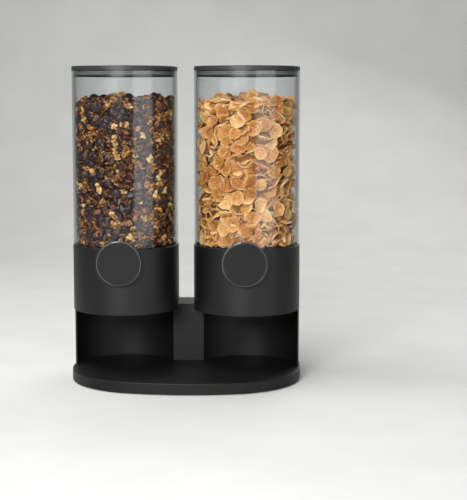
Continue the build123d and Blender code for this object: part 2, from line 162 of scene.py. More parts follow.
# Each line: colour, its lighter mottle, roughness, grain spacing and depth in mm, IOR.
STAND_ABS = moulded_plastic("black_spark_eroded_ABS", "#0B0B0C", "#0E0E0F", 0.50, 0.7, 0.05, 1.36)
HOUSING_ABS = moulded_plastic("black_satin_ABS_housing", "#0B0B0C", "#0E0E0F", 0.45, 0.7, 0.04, 1.4)
LID_ABS = moulded_plastic("charcoal_satin_ABS_lid", "#262627", "#2B2B2C", 0.46, 0.9, 0.03, 1.45)
INNER_PP = moulded_plastic("grey_polypropylene_hopper", "#3B3B3C", "#434344", 0.5, 1.0, 0.05, 1.49)
ACETAL = moulded_plastic("natural_acetal", "#D9D6CB", "#E2DFD5", 0.35, 1.2, 0.02, 1.48)
SILICONE = moulded_plastic("grey_silicone", "#6E7173", "#777A7C", 0.62, 1.0, 0.04, 1.43)
RUBBER = moulded_plastic("black_rubber_foot", "#1B1B1B", "#222222", 0.75, 0.8, 0.08, 1.52)
print("moulded finishes, for example:", STAND_ABS.name, "and", SILICONE.name)

# %% [markdown]
# ## The knobs
# A knob is the same ABS. Its chamfer is drawn smoother than the face and in a lighter grey, a
# painted highlight, so that a thin ring shows brighter than the face. The ring is part of one
# solid. A second material on its faces would mean changing the part, so the one material finds
# the ring by the direction of its surface: the face looks along the shaft, the side looks across
# it, and only the chamfer looks halfway between.

# %% Material: knob with a painted highlight on its chamfer
HALFWAY, NEAR_HALFWAY = 0.707, 0.2      # the cosine of 45 degrees, and how far from it is the ring
FACE_ROUGHNESS, RING_ROUGHNESS = 0.24, 0.12


def knob_abs(name):
    made, tree, out = start_material(name)
    place = add_node(tree, "ShaderNodeTexCoord")
    grain = add_node(tree, "ShaderNodeTexNoise", {"Scale": 1 / (0.9 * MM), "Detail": 2.0},
                     {"Vector": (place, "Object")})
    parts = add_node(tree, "ShaderNodeSeparateXYZ", joins={0: (place, "Normal")})
    along = add_node(tree, "ShaderNodeMath", joins={0: (parts, "Y")}, operation="ABSOLUTE")
    turned = add_node(tree, "ShaderNodeMath", {1: HALFWAY, 2: NEAR_HALFWAY}, {0: (along, 0)},
                      operation="COMPARE")
    face = add_node(tree, "ShaderNodeValToRGB", joins={"Fac": (grain, "Fac")},
                    stops=[(0.3, "#0C0C0D"), (0.7, "#101011")])
    # The ring's lighter grey, #505052, is a painted highlight. The face keeps the plastic's own
    # black.
    tint = add_node(tree, "ShaderNodeMix", {7: linear("#505052")},
                    {0: (turned, 0), 6: (face, "Color")}, data_type="RGBA")
    gloss = add_node(tree, "ShaderNodeMapRange",
                     {"To Min": FACE_ROUGHNESS, "To Max": RING_ROUGHNESS}, {"Value": (turned, 0)})
    pits = add_node(tree, "ShaderNodeBump", {"Strength": 0.2, "Distance": 0.02 * MM},
                    {"Height": (grain, "Fac")})
    shader = add_node(tree, "ShaderNodeBsdfPrincipled", {"IOR": 1.38},
                      {"Base Color": (tint, 2), "Roughness": (gloss, "Result"),
                       "Normal": (pits, "Normal")})
    tree.links.new(shader.outputs[0], out.inputs["Surface"])
    return made


KNOB_ABS = knob_abs("black_ABS_knob_with_painted_chamfer_highlight")
print("knob finish:", KNOB_ABS.name, "with", len(KNOB_ABS.node_tree.nodes), "nodes")

# %% [markdown]
# ## Steel
# The screws are zinc-plated steel and the shafts are ground stainless. Both are metals, so the
# colour is in the reflection, and a metal keeps the shader's own IOR. Grinding leaves rings along
# the shaft, a few hundredths of a millimetre apart, and zinc only a slight waviness. Both are
# drawn millimetres apart so that they show. A Wave node repeats 20 times in 2 pi of its length,
# so its scale is worked out from that. An anisotropic shader would stretch the highlight across
# the rings as well, but so little steel is ever in view that a bump is enough.

# %% Material: zinc plate and ground steel
WAVES_AT_SCALE_1 = 20 / (2 * math.pi)


def steel(name, colour, roughness, ring_mm):
    made, tree, out = start_material(name)
    place = add_node(tree, "ShaderNodeTexCoord")
    rings = add_node(tree, "ShaderNodeTexWave",
                     {"Scale": 1 / (ring_mm * MM * WAVES_AT_SCALE_1), "Distortion": 1.5},
                     {"Vector": (place, "Object")}, bands_direction="Y")
    patches = add_node(tree, "ShaderNodeTexNoise", {"Scale": 1 / (3 * MM)},
                       {"Vector": (place, "Object")})
    tint = add_node(tree, "ShaderNodeValToRGB", joins={"Fac": (patches, "Fac")},
                    stops=[(0.3, colour), (0.7, "#C9CACB")])
    scratch = add_node(tree, "ShaderNodeBump", {"Strength": 0.15, "Distance": 0.01 * MM},
                       {"Height": (rings, "Fac")})
    shader = add_node(tree, "ShaderNodeBsdfPrincipled", {"Metallic": 1.0, "Roughness": roughness},
                      {"Base Color": (tint, "Color"), "Normal": (scratch, "Normal")})
    tree.links.new(shader.outputs[0], out.inputs["Surface"])
    return made


ZINC = steel("zinc_plated_steel", "#B4B8BC", 0.34, 5.0)
GROUND_STEEL = steel("ground_stainless_steel", "#BDBDBE", 0.24, 1.9)
print("metals:", ZINC.name, "and", GROUND_STEEL.name)

# %% [markdown]
# ## Clear container plastic
# The containers are SAN, a clear plastic with an IOR of 1.57. A wall of 2.2 mm bends what is
# behind it so little that the eye sees only two things: the wall turns greyer towards its
# edges, where the line of sight runs a long way through it, and it mirrors the lights more
# there. Refracting glass would show both, but lamps can't shine through it without a great many
# samples, and the cereal would go dark. So the light passes straight through a transparent
# shader, and a glossy one is laid over it. The share of gloss follows Schlick's rule, a small
# part straight on and the fifth power of the facing angle towards the edges. For 1.57 the rule
# gives 0.05 straight on, and 0.03 matches the object. The Fresnel node isn't used, because on the
# inner side of a thin wall it works out total reflection, which turns the edges black.

# %% Material: clear SAN
GLOSS_STRAIGHT_ON, GLOSS_TO_THE_EDGE, SCHLICK_POWER = 0.03, 0.9, 5.0
FLOW_MM = 60                        # the slow waves that the melt leaves in the wall


def clear_plastic(name):
    made, tree, out = start_material(name)
    facing = add_node(tree, "ShaderNodeLayerWeight", {"Blend": 0.5})
    tint = add_node(tree, "ShaderNodeValToRGB", joins={"Fac": (facing, "Facing")},
                    stops=[(0.0, "#FAFBFB"), (0.6, "#F3F4F4"), (0.85, "#D5D8D9"), (1.0, "#8C9092")])
    through = add_node(tree, "ShaderNodeBsdfTransparent", joins={"Color": (tint, "Color")})
    place = add_node(tree, "ShaderNodeTexCoord")
    flow = add_node(tree, "ShaderNodeTexNoise", {"Scale": 1 / (FLOW_MM * MM), "Detail": 1.0},
                    {"Vector": (place, "Object")})
    waves = add_node(tree, "ShaderNodeBump", {"Strength": 0.06, "Distance": 0.4 * MM},
                     {"Height": (flow, "Fac")})
    mirror = add_node(tree, "ShaderNodeBsdfGlossy", {"Roughness": 0.13},
                      {"Normal": (waves, "Normal")})
    steep = add_node(tree, "ShaderNodeMath", {1: SCHLICK_POWER}, {0: (facing, "Facing")},
                     operation="POWER")
    share = add_node(tree, "ShaderNodeMath", {1: GLOSS_TO_THE_EDGE, 2: GLOSS_STRAIGHT_ON},
                     {0: (steep, 0)}, operation="MULTIPLY_ADD")
    both = add_node(tree, "ShaderNodeMixShader",
                    joins={0: (share, 0), 1: (through, 0), 2: (mirror, 0)})
    tree.links.new(both.outputs[0], out.inputs["Surface"])
    return made


CLEAR_SAN = clear_plastic("clear_SAN")
print("clear finish:", CLEAR_SAN.name)

# %% Put each finish on its nodes
FINISHES = {
    "base_top": STAND_ABS, "base_bottom": STAND_ABS, "column": STAND_ABS, "housing": HOUSING_ABS,
    "rubber_feet": RUBBER, "base_screws": ZINC, "column_screws": ZINC, "ledge_screws": ZINC,
    "outlet_screws": ZINC, "knob_screw": ZINC, "shaft_ring": ZINC, "shaft": GROUND_STEEL,
    "hopper": INNER_PP, "outlet": INNER_PP, "front_bushing": ACETAL, "rear_bushing": ACETAL,
    "rotor_hub": ACETAL, "rotor_vanes": SILICONE, "lid_gasket": SILICONE, "lid": LID_ABS,
    "container": CLEAR_SAN, "knob": KNOB_ABS, "knob_cap": KNOB_ABS,
}
for name, node in NODES.items():
    kind = name.split("_", 1)[1] if name.startswith(SIDES) else name
    node.data.materials.clear()
    node.data.materials.append(FINISHES[kind])
print("finished nodes:", len(NODES))

# %% [markdown]
# ## Toasted flakes
# Corn flakes are rolled thin, blistered by the oven and curled as they cool. Each is an oval of
# 15 to 22 mm with a raised rim, a hollow and a few blisters, and no two have the same toast.
# A flake could be sculpted, or cut from a plane and bent with modifiers, but each new one would
# then be handwork. A formula over a polar grid, rings and spokes about a middle, gives any number.
# Sixteen shapes are made, then copied hundreds of times with new turns: the eye can't find the
# repeats, and the file stays light. The rim and each flake's own tone go into the mesh as
# attributes, which the material reads.

# %% Helper: close a polar grid
def close_disc(points, rings, spokes):
    """Faces that join a polar grid, its lower copy and the rim between them."""
    half = len(points) // 2
    faces = []
    for spoke in range(spokes):
        after = (spoke + 1) % spokes
        faces.append((0, 1 + spoke, 1 + after))
        faces.append((half, half + 1 + after, half + 1 + spoke))
        for ring in range(rings - 1):
            a, b = 1 + ring * spokes + spoke, 1 + ring * spokes + after
            faces.append((a, a + spokes, b + spokes, b))
            faces.append((half + a, half + b, half + b + spokes, half + a + spokes))
        a, b = half - spokes + spoke, half - spokes + after
        faces.append((a, half + a, half + b, b))
    return points, faces


print("one ring of four spokes, closed:", len(close_disc(np.zeros((10, 3)), 1, 4)[1]), "faces")

# %% Shape: one flake
FLAKE_RADIUS_MM = (7.4, 10.8)
FLAKE_THICKNESS, RIM_THINNING = 0.9 * MM, 0.6
FLAKE_RINGS, FLAKE_SPOKES = (0.28, 0.5, 0.7, 0.86, 1.0), 18
OUTLINE_WAVES = ((2, 0.06), (3, 0.045), (7, 0.035))     # waves round the edge, and their depths
CUP, CURL, TWIST = (0.05, 0.30), (0.10, 0.24), (0.03, 0.22)     # spans, as shares of the radius
HOLLOW, UNEVEN_CURL, RIM_RIPPLE = 0.3, 0.5, 0.075
BLISTERS, BLISTER_REACH, BLISTER_AREA = 6, 0.55, 0.028
BLISTER_RISE_MM = (-1.2, 1.5)


def flake_shape(draw):
    """Vertices, faces and rim share of a thin curled flake that lies about the XY plane."""
    size = draw.uniform(*FLAKE_RADIUS_MM) * MM
    phases = draw.uniform(0, 2 * math.pi, 3)
    cup, curl, twist = (draw.uniform(*span) * size for span in (CUP, CURL, TWIST))
    blisters = draw.uniform(-BLISTER_REACH, BLISTER_REACH, (BLISTERS, 2))
    rises = draw.uniform(*BLISTER_RISE_MM, BLISTERS) * MM
    turn = np.arange(FLAKE_SPOKES) * 2 * math.pi / FLAKE_SPOKES
    edge = np.ones(FLAKE_SPOKES)
    for (waves, depth), phase in zip(OUTLINE_WAVES, phases):
        edge += depth * np.cos(waves * turn + phase)
    edge *= size
    points, rims = [np.zeros((1, 3))], [np.zeros(1)]
    for share in FLAKE_RINGS:
        x, y = share * edge * np.cos(turn), share * edge * np.sin(turn)
        lift = cup * share**2 + twist * share**2 * np.cos(2 * turn + phases[1])
        lift += (curl * share**6 * (1 + UNEVEN_CURL * np.sin(3 * turn + phases[2]))
                 - HOLLOW * curl * share**2)
        lift += RIM_RIPPLE * size * share**4 * np.sin(6 * turn + phases[0])
        points.append(np.stack([x, y, lift], 1))
        rims.append(np.full(FLAKE_SPOKES, share**4))
    top = np.concatenate(points)
    for (bx, by), rise in zip(blisters, rises):
        near = ((top[:, 0] / size - bx) ** 2 + (top[:, 1] / size - by) ** 2) / BLISTER_AREA
        top[:, 2] += rise * np.exp(-near)
    below = top - [0, 0, FLAKE_THICKNESS]
    below[-FLAKE_SPOKES:] = top[-FLAKE_SPOKES:] - [0, 0, RIM_THINNING * FLAKE_THICKNESS]
    solid = close_disc(np.concatenate([top, below]), len(FLAKE_RINGS), FLAKE_SPOKES)
    return solid, np.concatenate(rims * 2)


def size_in_mm(shape):
    """The three sides of one sample of a shape, from draws that nothing else uses."""
    (points, _), _ = shape(np.random.default_rng(0))
    return [round(float(side) / MM, 1) for side in np.ptp(points, axis=0)]


print("one flake, mm:", size_in_mm(flake_shape))

# %% [markdown]
# ## Granola
# The other container holds baked oats: single rolled oats 6 to 9 mm long with a crease, crumbly
# clusters stuck together with syrup, pale puffed grains, and dark chocolate. Oats reuse the polar
# grid. Clusters and puffs start from an ico sphere with round lobes raised on it, many small
# ones for a cluster and a few large ones for a puff. Chocolate is the same sphere pressed by
# random planes that leave it lumpy, as chocolate is after it has tumbled among oats.

# %% Shape: one rolled oat
OAT_HALF_LENGTH_MM, OAT_HALF_WIDTH_MM = (3.2, 4.4), (2.1, 2.9)
OAT_THICKNESS, OAT_CREASE = 1.1 * MM, 0.35 * MM
OAT_BEND, OAT_WAVE = (-0.25, 0.35), 0.08
OAT_RINGS, OAT_SPOKES = 2, 10


def oat_shape(draw):
    """One rolled oat: a small thin oval with a crease along its middle."""
    length, width = draw.uniform(*OAT_HALF_LENGTH_MM) * MM, draw.uniform(*OAT_HALF_WIDTH_MM) * MM
    bend, phase = draw.uniform(*OAT_BEND), draw.uniform(0, 6)
    turn = np.arange(OAT_SPOKES) * 2 * math.pi / OAT_SPOKES
    crease = OAT_CREASE * (1 - np.abs(np.sin(turn)) ** 0.5)
    points, rims = [np.zeros((1, 3))], [np.zeros(1)]
    for ring in range(1, OAT_RINGS + 1):
        share = ring / OAT_RINGS
        x = share * length * np.cos(turn) * (1 + OAT_WAVE * np.sin(3 * turn + phase))
        y = share * width * np.sin(turn) * (1 + OAT_WAVE * np.cos(2 * turn + phase))
        points.append(np.stack([x, y, bend * share**2 * length - crease * (1 - share * 0.5)], 1))
        rims.append(np.full(OAT_SPOKES, share))
    top = np.concatenate(points)
    solid = close_disc(np.concatenate([top, top - [0, 0, OAT_THICKNESS]]), OAT_RINGS, OAT_SPOKES)
    return solid, np.concatenate(rims * 2)


print("one oat, mm:", size_in_mm(oat_shape))


# %% Shapes: cluster and puff
def ball(detail):
    """The points and faces of a unit ico sphere."""
    sphere = bmesh.new()
    bmesh.ops.create_icosphere(sphere, subdivisions=detail, radius=1.0)
    points = np.array([v.co for v in sphere.verts])
    faces = [tuple(v.index for v in f.verts) for f in sphere.faces]
    sphere.free()
    return points, faces


BALL = ball(3)
LOBE_WIDTH, LOBE_ROUNDNESS, STRETCH = 1.9, 0.6, (0.8, 1.15)


def lobed_shape(draw, count, size, core, reach):
    """Round bumps on a ball, count of them, and how far out each point is. core is the radius
    between the bumps and reach their height, both as shares of size."""
    points, faces = BALL
    lobes = draw.normal(size=(count, 3))
    lobes /= np.linalg.norm(lobes, axis=1)[:, None]
    width = LOBE_WIDTH / math.sqrt(count)
    away = np.linalg.norm(points[:, None] - lobes[None], axis=2)
    push = np.clip(np.max(1 - away / width, axis=1), 0, 1) ** LOBE_ROUNDNESS
    stretch = draw.uniform(*STRETCH, 3)
    return (points * (core + reach * push)[:, None] * stretch * size, faces), push


def cluster_shape(draw):
    """Oats and crumbs baked together with syrup."""
    return lobed_shape(draw, 22, draw.uniform(5.2, 7.6) * MM, 0.62, 0.46)


def puff_shape(draw):
    """A pale puffed grain that burst into a few round lobes."""
    return lobed_shape(draw, 7, draw.uniform(5.0, 6.6) * MM, 0.42, 0.60)


print("one cluster, mm:", size_in_mm(cluster_shape), "one puff:", size_in_mm(puff_shape))

# %% Shape: chocolate
PRESSES, PRESS_PLACE, PRESS_SHARE = 6, (0.62, 0.85), 0.85
CHOCOLATE_RADIUS_MM = (6.2, 7.8)
CHOCOLATE_STRETCH = ((0.95, 1.15), (0.85, 1.05), (0.7, 0.95))


def chocolate_shape(draw):
    """A lump of chocolate: a ball pressed by random planes, with soft edges."""
    points, faces = BALL
    moved = points.copy()
    for _ in range(PRESSES):
        plane = draw.normal(size=3)
        plane /= np.linalg.norm(plane)
        depth = moved @ plane - draw.uniform(*PRESS_PLACE)
        moved -= np.clip(depth, 0, None)[:, None] * plane * PRESS_SHARE
    stretch = [draw.uniform(*span) for span in CHOCOLATE_STRETCH]
    solid = moved * stretch * draw.uniform(*CHOCOLATE_RADIUS_MM) * MM
    return (solid, faces), np.full(len(points), 0.5)


print("one piece of chocolate, mm:", size_in_mm(chocolate_shape))

# %% [markdown]
# ## Filling a container
# Poured cereal settles against the wall, so only the pieces near the wall and on top are ever
# seen. Dropping thousands of rigid bodies would take minutes and give the same picture. Instead
# each piece gets a random turn and is pushed outwards until its outermost point meets the wall,
# or a layer some millimetres inside it. Places keep a least distance, so that the pieces spread
# evenly.

# %% Helpers that place pieces
WALL_TILT, FLAT_TILT = 0.42, 0.45   # how far pieces lean from facing the wall, or from lying flat
TRIES = 14                          # for each place that could be filled


def turn_matrix(draw, outward, facing):
    """A random turn: facing is the share of pieces whose flat side looks at the wall."""
    if draw.random() < facing:
        normal = np.array([*outward, 0.0]) + draw.normal(0, WALL_TILT, 3)
    else:
        normal = np.array([0, 0, draw.choice([-1.0, 1.0])]) + draw.normal(0, FLAT_TILT, 3)
    normal /= np.linalg.norm(normal)
    across = np.cross(normal, draw.normal(size=3))
    across /= np.linalg.norm(across)
    return np.stack([across, np.cross(normal, across), normal], 1)


def spread(draw, width, height, least):
    """Random places on a width by height sheet that wraps round, at least so far apart."""
    kept = np.empty((0, 2))
    tries = int(TRIES * width * height / least**2)
    for place in draw.uniform(0, 1, (tries, 2)) * [width, height]:
        away = np.abs(kept - place)
        away[:, 0] = np.minimum(away[:, 0], width - away[:, 0])
        if not len(kept) or np.min(np.hypot(away[:, 0], away[:, 1])) > least:
            kept = np.vstack([kept, place])
    return kept


def against_wall(points, outward, wall):
    """How far from the axis a piece's centre goes so that its outermost point meets the wall."""
    away = points[:, 0] * outward[0] + points[:, 1] * outward[1]
    aside = points[:, 1] * outward[0] - points[:, 0] * outward[1]
    return np.min(np.sqrt(np.maximum(wall**2 - aside**2, 0)) - away)


def set_down(points, room, outward, reach, level):
    """A turned piece at this distance from the container's axis and at this height."""
    return points + [room["x"] + reach * outward[0], room["y"] + reach * outward[1], level]


print("places 30 mm apart on 0.3 x 0.2 m:", len(spread(np.random.default_rng(0), 0.3, 0.2, 0.03)))


# %% Helper: many pieces in one mesh
class Heap:
    """Collects copies of shapes and turns them into one mesh."""

    def __init__(self):
        self.points, self.faces, self.tones, self.rims, self.count = [], [], [], [], 0

    def add(self, points, faces, rim, tone):
        self.points.append(points)
        self.faces.extend([tuple(i + self.count for i in face) for face in faces])
        self.tones.append(np.full(len(points), tone))
        self.rims.append(rim)
        self.count += len(points)

    def build(self, name, material, body):
        mesh = bpy.data.meshes.new(name)
        mesh.from_pydata(np.concatenate(self.points).tolist(), [], self.faces)
        for label, values in (("tone", self.tones), ("rim", self.rims)):
            layer = mesh.attributes.new(label, "FLOAT", "POINT")
            layer.data.foreach_set("value", np.concatenate(values).astype(np.float32))
        mesh.shade_smooth()
        mesh.materials.append(material)
        piece = bpy.data.objects.new(name, mesh)
        bpy.context.scene.collection.objects.link(piece)
        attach(piece, body)
        return piece


print("a heap keeps:", ", ".join(vars(Heap())))

# %% [markdown]
# ## Three places for a piece
# A heap has three kinds of place. Layers of pieces stand against the wall, at its surface and
# behind the gaps of the layer in front. A row along the floor hides where they end, because the
# container narrows to its spigot there. And pieces lie on top, in a low mound with a few waves,
# which they may not pass by more than a little. A generator yields each piece when it is asked
# for, so one stream of draws serves the place, the turn and the tone of every piece in order.

# %% The top of a heap
WALL_GAP = 0.35 * MM
SPIGOT_STEP = 2.0 * MM              # the bore is this much narrower just above the housing
SPIGOT_TOP = 4.5 * MM
MOUND_RADIUS = 0.06                 # where the mound has sunk to the level of the fill
WAVES_PER_METRE, WAVE_HEIGHT = 32, 5.5 * MM


def surface_height(x, y, fill, mound, seed):
    """The top of the heap at one place: a low mound with a few waves."""
    away = math.hypot(x, y) / MOUND_RADIUS
    wave = noise.noise(Vector((x * WAVES_PER_METRE, y * WAVES_PER_METRE, seed)))
    return fill + mound * (1 - away**2) + WAVE_HEIGHT * wave


print("middle of a 6 mm mound, mm:", round(surface_height(0, 0, 0, 6 * MM, 3.0) / MM, 1))

# %% Pieces against the wall
UP_TO = 3 * MM                      # centres may lie this far above the fill
OFF_THE_FLOOR = 0.8 * MM
TOP_IS_MEASURED_AT = 0.055          # metres from the axis
ABOVE_TOP_MM = (-3, 6)              # how far a piece may end below or above the heap's top
UNEVEN_MM = 1.2                     # how unevenly the pieces of one layer stand


def beside_wall(draw, room, shapes, layers, fill, mound, seed):
    """Yields (points, faces, rim, kind) for the layers, each a (depth, spacing, facing)."""
    for depth, spacing, facing in layers:
        round_wall = 2 * math.pi * (room["bore"] - depth)
        tall = fill - room["floor"]
        for along, up in spread(draw, round_wall, tall + UP_TO, spacing):
            angle = along / (room["bore"] - depth)
            outward = np.array([math.cos(angle), math.sin(angle)])
            kind, ((points, faces), rim) = shapes(draw)
            turned = points @ turn_matrix(draw, outward, facing).T
            level = max(room["floor"] + OFF_THE_FLOOR - turned[:, 2].min(), room["floor"] + up)
            top = surface_height(*(outward * TOP_IS_MEASURED_AT), fill, mound, seed)
            level = min(level, top - turned[:, 2].max() + draw.uniform(*ABOVE_TOP_MM) * MM)
            low = level + turned[:, 2].min() < room["floor"] + SPIGOT_TOP
            wall = (room["bore"] - WALL_GAP - depth - (SPIGOT_STEP if low else 0)
                    - draw.uniform(0, UNEVEN_MM) * MM)
            reach = against_wall(turned, outward, wall)
            yield set_down(turned, room, outward, reach, level), faces, rim, kind


print("layers keep", round(WALL_GAP / MM, 2), "mm off the wall")

# %% Pieces along the floor, and on top
FLOOR_GAP, FLOOR_SPACING, FLOOR_SCATTER = 0.2 * MM, 0.8, 0.03
TOP_DEPTHS, TOP_LAYER_MM = (2.2, 1.0, 0.0), 3.5
TOP_RIM = 9 * MM                    # no centre lies closer to the wall than this
TOP_FACING, FLOOR_FACING = 0.2, 0.5


def along_floor(draw, room, shapes, spacing):
    """Yields one row of pieces that hides the spigot."""
    for turn in np.arange(0, 2 * math.pi, FLOOR_SPACING * spacing / room["bore"]):
        angle = turn + draw.uniform(-FLOOR_SCATTER, FLOOR_SCATTER)
        outward = np.array([math.cos(angle), math.sin(angle)])
        kind, ((points, faces), rim) = shapes(draw)
        turned = points @ turn_matrix(draw, outward, FLOOR_FACING).T
        level = room["floor"] + FLOOR_GAP - turned[:, 2].min()
        reach = against_wall(turned, outward, room["bore"] - WALL_GAP - SPIGOT_STEP)
        yield set_down(turned, room, outward, reach, level), faces, rim, kind


def on_top(draw, room, shapes, fill, mound, spacing, seed):
    """Yields the pieces of the mound, from its lowest layer up, none of them through the wall."""
    span = 2 * room["bore"]
    for deep in TOP_DEPTHS:
        for x, y in spread(draw, span, span, spacing) - room["bore"]:
            away = math.hypot(x, y)
            if away > room["bore"] - TOP_RIM:
                continue
            kind, ((points, faces), rim) = shapes(draw)
            turned = points @ turn_matrix(draw, np.array([0.0, -1.0]), TOP_FACING).T
            level = surface_height(x, y, fill, mound, seed) - deep * TOP_LAYER_MM * MM
            outward = np.array([x, y]) / away
            reach = min(away, against_wall(turned, outward, room["bore"] - WALL_GAP))
            yield set_down(turned, room, outward, reach, level), faces, rim, kind


print("layers on top:", len(TOP_DEPTHS))


# %% Fill one container
def fill_container(side, draw, shapes, layers, fill, mound, top_spacing, groups, seed):
    """Pours one container and builds a few meshes of each kind, so that none is too heavy."""
    room = ROOM[side]
    heaps, numbers = {}, {}

    def pour():
        yield from beside_wall(draw, room, shapes, layers, fill, mound, seed)
        yield from along_floor(draw, room, shapes, layers[0][1])
        yield from on_top(draw, room, shapes, fill, mound, top_spacing, seed)

    for points, faces, rim, kind in pour():
        numbers[kind] = numbers.get(kind, -1) + 1
        key = (kind, numbers[kind] % groups[kind][0])
        heaps.setdefault(key, Heap()).add(points, faces, rim, draw.random())
    for (kind, part), heap in sorted(heaps.items()):
        heap.build(f"{side}_{kind}_{part + 1}", groups[kind][1], side + "_container")
    print(side, "pieces:", {kind: number + 1 for kind, number in numbers.items()})


# %% [markdown]
# ## The colours of the cereal
# Each piece browns by its own tone and by specks of toast. The rim of a flake and the raised
# tips of an oat, a cluster or a puff are painted paler, a painted highlight, and the middle of a
# flake and the hollows between the tips are painted browner, a painted shade. So the colour runs
# from pale to brown by a mix of fine noise, each piece's own tone and the rim attribute, which
# paints this light and shade. The noise is as wide as the specks of bran, 1 to 3 mm. The noise is
# as wide as the specks of bran, 1 to 3 mm. A little subsurface
# light softens the shadows, as in any starchy food, and 1.45 is a usual IOR for oil and sugar.
# Chocolate is smoother, with a faint bloom. An image of toast would need every piece unwrapped and
# would repeat, while noise in the object's own space is different on each piece.

# %% Material: baked grain
TONE_SHARE, SPECK_SHARE = 0.45, 0.75


def baked_grain(name, stops, speck_mm, roughness, soft, painted_light_share):
    made, tree, out = start_material(name)
    place = add_node(tree, "ShaderNodeTexCoord")
    specks = add_node(tree, "ShaderNodeTexNoise", {"Scale": 1 / (speck_mm * MM), "Detail": 4.0},
                      {"Vector": (place, "Object")})
    tone = add_node(tree, "ShaderNodeAttribute", attribute_name="tone")
    rim = add_node(tree, "ShaderNodeAttribute", attribute_name="rim")
    own = add_node(tree, "ShaderNodeMath", {1: TONE_SHARE}, {0: (tone, "Fac")},
                   operation="MULTIPLY")
    both = add_node(tree, "ShaderNodeMath", {1: SPECK_SHARE}, {0: (specks, "Fac"), 2: (own, 0)},
                    operation="MULTIPLY_ADD")
    # The rim attribute paints rims and raised tips paler, a painted highlight, and the hollows
    # between them browner, a painted shade.
    toast_and_painted_light = add_node(tree, "ShaderNodeMath", {1: painted_light_share}, {0: (rim, "Fac"), 2: (both, 0)},
                     operation="MULTIPLY_ADD")
    tint = add_node(tree, "ShaderNodeValToRGB", joins={"Fac": (toast_and_painted_light, 0)}, stops=stops)
    crumbs = add_node(tree, "ShaderNodeBump", {"Strength": 0.5, "Distance": 0.3 * MM},
                      {"Height": (specks, "Fac")})
    shader = add_node(tree, "ShaderNodeBsdfPrincipled",
                      {"Roughness": roughness, "IOR": 1.45, "Subsurface Weight": soft,
                       "Subsurface Scale": 1.5 * MM},
                      {"Base Color": (tint, "Color"), "Normal": (crumbs, "Normal")})
    tree.links.new(shader.outputs[0], out.inputs["Surface"])
    return made


# After the colours: width of the specks in mm, roughness, subsurface share, share of the rim's
# painted light, which below zero paints rims and tips paler and the hollows browner.
FLAKE = baked_grain(
    "toasted_corn_flake",
    [(0.0, "#F8DBAA"), (0.35, "#E0AC6A"), (0.65, "#C07F3D"), (0.95, "#824C1C")],
    2.2, 0.50, 0.12, -0.34)
OAT = baked_grain(
    "baked_oat",
    [(0.0, "#D6A267"), (0.3, "#7C4A22"), (0.5, "#40220F"), (0.9, "#1A0D07")],
    1.6, 0.42, 0.06, -0.30)
CLUSTER = baked_grain(
    "syrup_oat_cluster",
    [(0.0, "#E0A85E"), (0.28, "#7C481D"), (0.52, "#371C0D"), (0.9, "#180C06")],
    1.2, 0.36, 0.04, -0.45)
PUFF = baked_grain(
    "pale_puffed_grain",
    [(0.0, "#F0DAA8"), (0.4, "#D8B273"), (0.7, "#9A6A33"), (1.0, "#5E3A1A")],
    1.4, 0.5, 0.1, -0.4)
CHOCOLATE = baked_grain(
    "dark_chocolate",
    [(0.2, "#3A2429"), (0.6, "#2A191D"), (1.0, "#1C1014")],
    3.0, 0.38, 0.02, 0.0)
# The two middle finishes are darker copies of flake and oat, painted shade for the shaded middle of
# a heap.
FLAKE_PAINTED_SHADE = baked_grain(
    "painted_shade_corn_flake", [(0.2, "#B07A40"), (1.0, "#6A3E1A")], 3.0, 0.8, 0.0, 0.0)
OAT_PAINTED_SHADE = baked_grain("painted_shade_oats", [(0.2, "#3A2114"), (1.0, "#1E110B")], 2.0, 0.8, 0.0, 0.0)
print("materials so far:", len(bpy.data.materials))

# %% [markdown]
# ## The inside of the heap
# Between the outer pieces the eye looks into the dark middle of the heap. One lumpy column stands
# there, so that no light leaks through from behind, and its darker tone of the same food is
# painted shade. Filling the middle with more pieces would double the meshes for nothing that can
# be seen. The column is hollow below, where the rotor turns.

# %% Shape: the middle of a heap
CORE_RADIUS, HOLLOW_RADIUS, HOLLOW_HEIGHT = 50 * MM, 44 * MM, 16 * MM
AXIS = 1 * MM                       # a small hole closes better than a point
CORE_BOTTOM, CORE_TOP = 1.5 * MM, 9 * MM        # above the floor, and below the fill
CORE_STEPS, CORE_SPOKES = 30, 72
CORE_SHOULDER = ((0.66, 2 * MM), (0.33, 4 * MM))  # the rounded top: share of the radius, and rise
SMOOTH_BELOW = 30 * MM              # the wall of the hollow stays round
LUMP, LUMPS_ROUND, LUMPS_PER_METRE = 2.2 * MM, 4, 70
# The middle's high tone makes it darker, part of its painted shade.
CORE_PAINTED_SHADE_TONE, CORE_RIM = 0.9, 0.6


def core_profile(floor, top):
    """(radius, height) pairs from the roof of the hollow, down and up outside to the axis."""
    profile = [(AXIS, floor + HOLLOW_HEIGHT), (HOLLOW_RADIUS, floor + HOLLOW_HEIGHT),
               (HOLLOW_RADIUS, floor)]
    profile += [(CORE_RADIUS, floor + (top - floor) * step / CORE_STEPS)
                for step in range(CORE_STEPS + 1)]
    profile += [(CORE_RADIUS * share, top + rise) for share, rise in CORE_SHOULDER]
    return profile + [(AXIS, profile[-1][1])]


